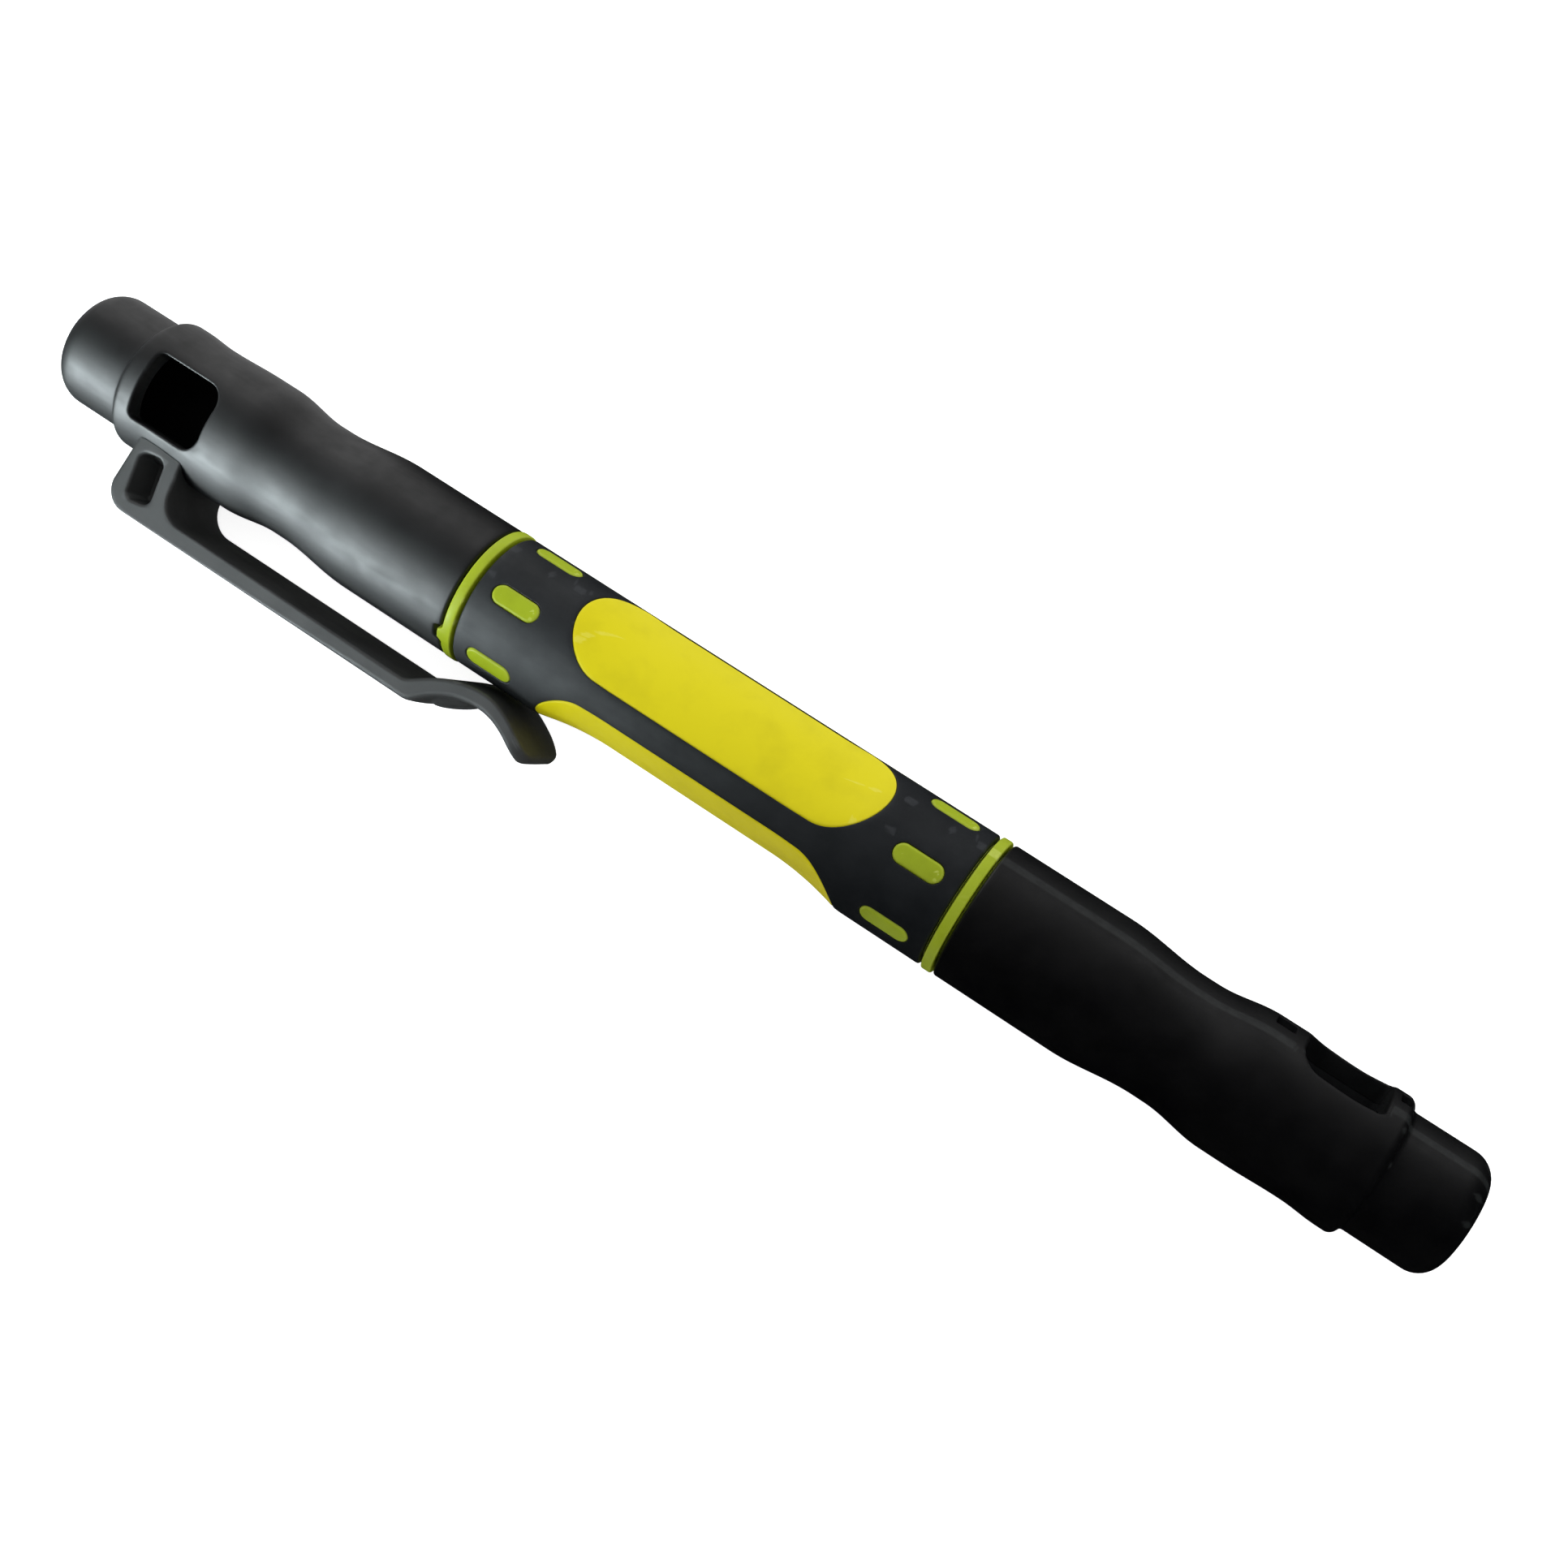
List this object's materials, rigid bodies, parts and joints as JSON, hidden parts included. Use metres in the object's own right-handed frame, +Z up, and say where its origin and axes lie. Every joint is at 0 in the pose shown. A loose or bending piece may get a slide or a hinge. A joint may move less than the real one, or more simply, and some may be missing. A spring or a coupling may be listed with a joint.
{
  "type": "counterfeit detector pen",
  "caption": "Slim double-ended banknote tester: capped marker nib with pocket clip at one end, capped ultraviolet lamp at the other, black rubber grip with hollowed yellow panels.",
  "frame": {"origin": "middle of the pen's footprint on the surface it lies on", "axes": "+X along the pen from the clip cap to the lamp cap, +Y away from the clip, +Z up"},
  "size_m": [0.135, 0.0172, 0.0122],
  "materials": {
    "cap_black": "satin black moulded plastic with a fine moulding texture",
    "clip_black": "satin black moulded plastic",
    "liner_black": "matt black plastic",
    "cup_soft": "soft natural plastic",
    "core_lime": "lime green moulded plastic, satin gloss",
    "sleeve_rubber": "soft black rubber, matt with a light sheen",
    "panel_yellow": "bright yellow soft inlay, smooth satin",
    "holder_white": "natural white plastic",
    "nib_felt": "amber stained pressed felt",
    "store_fibre": "fibre rod soaked with amber fluid",
    "plug_grey": "grey plastic",
    "seal_rubber": "black rubber",
    "cell_steel": "nickel plated steel",
    "contact_brass": "sprung brass",
    "board_green": "green circuit board",
    "led_clear": "clear cast resin with a faint violet tint",
    "bezel_chrome": "bright plated",
    "button_yellow": "bright yellow soft rubber"
  },
  "bodies": {
    "barrel": {"barrel_core": "core_lime", "grip_sleeve": "sleeve_rubber", "grip_panel_1": "panel_yellow", "grip_panel_2": "panel_yellow", "grip_panel_3": "panel_yellow", "nib_holder": "holder_white", "felt_nib": "nib_felt", "ink_store": "store_fibre", "store_plug": "plug_grey", "nib_seal_ring": "seal_rubber"},
    "clip_cap": {"clip_cap": "cap_black", "seal_cup": "cup_soft"},
    "clip": {"pocket_clip": "clip_black"},
    "lamp_unit": {"lamp_body": "core_lime", "lamp_seal_ring": "seal_rubber", "button_cell_1": "cell_steel", "button_cell_2": "cell_steel", "button_cell_3": "cell_steel", "cell_spring": "contact_brass", "cell_plug": "plug_grey", "contact_strip": "contact_brass", "lamp_board": "board_green", "lamp_led": "led_clear", "lamp_bezel": "bezel_chrome", "switch_dome": "cell_steel"},
    "lamp_cap": {"lamp_cap": "cap_black", "lamp_cap_liner": "liner_black"},
    "button": {"push_button": "button_yellow"}
  },
  "joints": [
    {"name": "clip_cap_pull", "type": "slide", "parent": "barrel", "child": "clip_cap", "axis": [-1, 0, 0], "range_m": [0, 0.05]},
    {"name": "clip_flex", "type": "hinge", "parent": "clip_cap", "child": "clip", "pos_m": [-0.057, -0.00341, 0.00503], "axis": [0, 0.178, -0.984], "range_deg": [0, 6], "stiffness_Nm_per_rad": 1.5, "springref_deg": -0.57},
    {"name": "lamp_unit_out", "type": "slide", "parent": "barrel", "child": "lamp_unit", "axis": [1, 0, 0], "range_m": [0, 0.012]},
    {"name": "lamp_cap_pull", "type": "slide", "parent": "lamp_unit", "child": "lamp_cap", "axis": [1, 0, 0], "range_m": [0, 0.03]},
    {"name": "button_press", "type": "slide", "parent": "lamp_unit", "child": "button", "axis": [0, -0.5592, -0.829], "range_m": [0, 0.0004], "stiffness_N_per_m": 1500, "springref_m": -0.0002}
  ]
}
